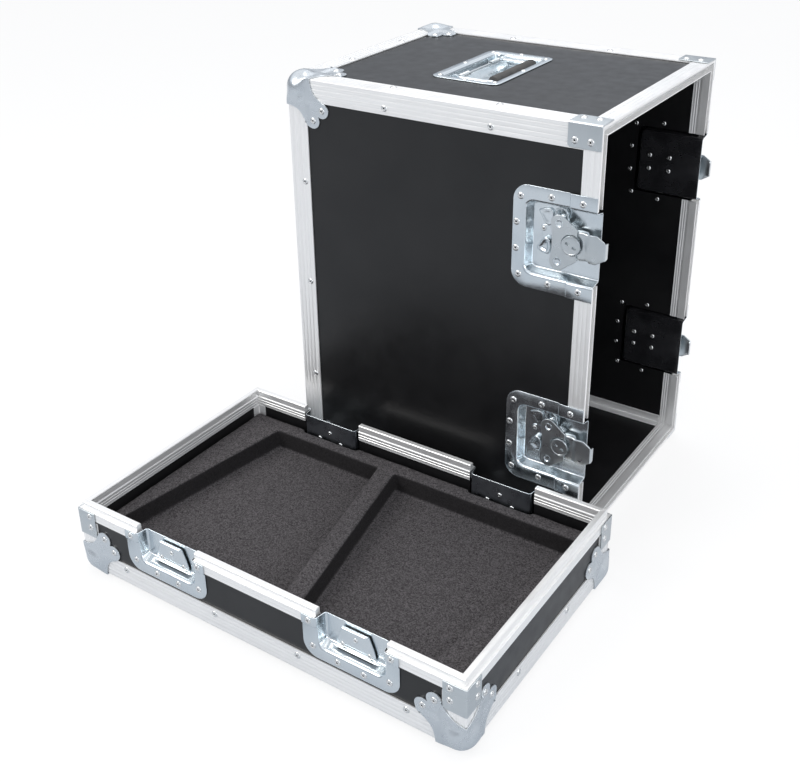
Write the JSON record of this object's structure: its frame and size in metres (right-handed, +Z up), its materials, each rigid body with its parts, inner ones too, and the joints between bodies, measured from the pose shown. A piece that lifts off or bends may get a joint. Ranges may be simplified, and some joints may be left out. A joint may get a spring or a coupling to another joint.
{
  "type": "speaker flight case",
  "caption": "Road case for a speaker: open hood of black laminate in aluminium edging, beside its foam-lined tray, with turn latches, ball corners and a sprung handle.",
  "frame": {"origin": "middle of the footprint of hood and tray together, on the floor plane", "axes": "+X from the hood's closed end to its open end and along the tray, +Y from the tray to the hood, +Z up"},
  "size_m": [0.593, 0.741, 0.593],
  "materials": {
    "black_laminate": "plywood with a black, finely grained plastic laminate",
    "satin_aluminium": "satin anodised extrusion with fine ribs",
    "bright_zinc": "bright zinc-plated pressed steel",
    "black_rubber": "matt moulded rubber sleeve",
    "grey_foam": "dark grey foam with a fine open grain"
  },
  "bodies": {
    "hood": {"hood_edging": "satin_aluminium", "hood_closed_end": "black_laminate", "hood_front_side": "black_laminate", "hood_back_side": "black_laminate", "hood_top_side": "black_laminate", "hood_bottom_side": "black_laminate", "hood_rim_lower": "satin_aluminium", "hood_rim_upper": "satin_aluminium", "hood_rim_front": "satin_aluminium", "hood_rim_back": "satin_aluminium", "hood_ball_front_lower": "bright_zinc", "hood_brace_front_lower": "bright_zinc", "latch_dish_front_lower": "bright_zinc", "hood_ball_front_upper": "bright_zinc", "hood_brace_front_upper": "bright_zinc", "latch_dish_front_upper": "bright_zinc", "hood_ball_back_lower": "bright_zinc", "hood_brace_back_lower": "bright_zinc", "latch_dish_back_lower": "bright_zinc", "hood_ball_back_upper": "bright_zinc", "hood_brace_back_upper": "bright_zinc", "latch_dish_back_upper": "bright_zinc", "handle_dish_top": "bright_zinc", "handle_dish_bottom": "bright_zinc"},
    "tray": {"tray_edging": "satin_aluminium", "tray_floor": "black_laminate", "tray_near_side": "black_laminate", "tray_far_side": "black_laminate", "tray_left_side": "black_laminate", "tray_right_side": "black_laminate", "tray_rim_left": "satin_aluminium", "tray_rim_right": "satin_aluminium", "tray_rim_far": "satin_aluminium", "tray_rim_near": "satin_aluminium", "tray_ball_near_left": "bright_zinc", "tray_brace_near_left": "bright_zinc", "catch_dish_near_left": "bright_zinc", "tray_ball_near_right": "bright_zinc", "tray_brace_near_right": "bright_zinc", "catch_dish_near_right": "bright_zinc", "tray_ball_far_left": "bright_zinc", "tray_brace_far_left": "bright_zinc", "catch_dish_far_left": "bright_zinc", "tray_ball_far_right": "bright_zinc", "tray_brace_far_right": "bright_zinc", "catch_dish_far_right": "bright_zinc", "foam_insert": "grey_foam"},
    "latch_key_front_lower": {"latch_key_front_lower": "bright_zinc"},
    "latch_hook_front_lower": {"latch_hook_front_lower": "bright_zinc"},
    "latch_key_front_upper": {"latch_key_front_upper": "bright_zinc"},
    "latch_hook_front_upper": {"latch_hook_front_upper": "bright_zinc"},
    "latch_key_back_lower": {"latch_key_back_lower": "bright_zinc"},
    "latch_hook_back_lower": {"latch_hook_back_lower": "bright_zinc"},
    "latch_key_back_upper": {"latch_key_back_upper": "bright_zinc"},
    "latch_hook_back_upper": {"latch_hook_back_upper": "bright_zinc"},
    "handle_top": {"handle_bail_top": "bright_zinc", "handle_grip_top": "black_rubber"},
    "handle_bottom": {"handle_bail_bottom": "bright_zinc", "handle_grip_bottom": "black_rubber"}
  },
  "joints": [
    {"name": "tray_lift", "type": "slide", "parent": "hood", "child": "tray", "axis": [0, 0, 1], "range_m": [0, 0.45]},
    {"name": "latch_turn_front_lower", "type": "hinge", "parent": "hood", "child": "latch_key_front_lower", "pos_m": [0.2039, 0.0095, 0.1565], "axis": [0, -1, 0], "range_deg": [0, 180]},
    {"name": "latch_draw_front_lower", "type": "slide", "parent": "hood", "child": "latch_hook_front_lower", "axis": [-1, 0, 0], "range_m": [0, 0.0045]},
    {"name": "latch_turn_front_upper", "type": "hinge", "parent": "hood", "child": "latch_key_front_upper", "pos_m": [0.2039, 0.0095, 0.4365], "axis": [0, -1, 0], "range_deg": [0, 180]},
    {"name": "latch_draw_front_upper", "type": "slide", "parent": "hood", "child": "latch_hook_front_upper", "axis": [-1, 0, 0], "range_m": [0, 0.0045]},
    {"name": "latch_turn_back_lower", "type": "hinge", "parent": "hood", "child": "latch_key_back_lower", "pos_m": [0.2039, 0.3635, 0.1565], "axis": [0, 1, 0], "range_deg": [0, 180]},
    {"name": "latch_draw_back_lower", "type": "slide", "parent": "hood", "child": "latch_hook_back_lower", "axis": [-1, 0, 0], "range_m": [0, 0.0045]},
    {"name": "latch_turn_back_upper", "type": "hinge", "parent": "hood", "child": "latch_key_back_upper", "pos_m": [0.2039, 0.3635, 0.4365], "axis": [0, 1, 0], "range_deg": [0, 180]},
    {"name": "latch_draw_back_upper", "type": "slide", "parent": "hood", "child": "latch_hook_back_upper", "axis": [-1, 0, 0], "range_m": [0, 0.0045]},
    {"name": "handle_swing_top", "type": "hinge", "parent": "hood", "child": "handle_top", "pos_m": [-0.0235, 0.1865, 0.5804], "axis": [0, -1, 0], "range_deg": [0, 90], "stiffness_Nm_per_rad": 0.8, "springref_deg": -17.19},
    {"name": "handle_swing_bottom", "type": "hinge", "parent": "hood", "child": "handle_bottom", "pos_m": [-0.0235, 0.1865, 0.0126], "axis": [0, 1, 0], "range_deg": [0, 90], "stiffness_Nm_per_rad": 0.8, "springref_deg": -17.19}
  ],
  "couplings": [
    {"joint": "latch_draw_front_lower", "follows": "latch_turn_front_lower", "m_per_rad": 0.001432},
    {"joint": "latch_draw_front_upper", "follows": "latch_turn_front_upper", "m_per_rad": 0.001432},
    {"joint": "latch_draw_back_lower", "follows": "latch_turn_back_lower", "m_per_rad": 0.001432},
    {"joint": "latch_draw_back_upper", "follows": "latch_turn_back_upper", "m_per_rad": 0.001432}
  ]
}
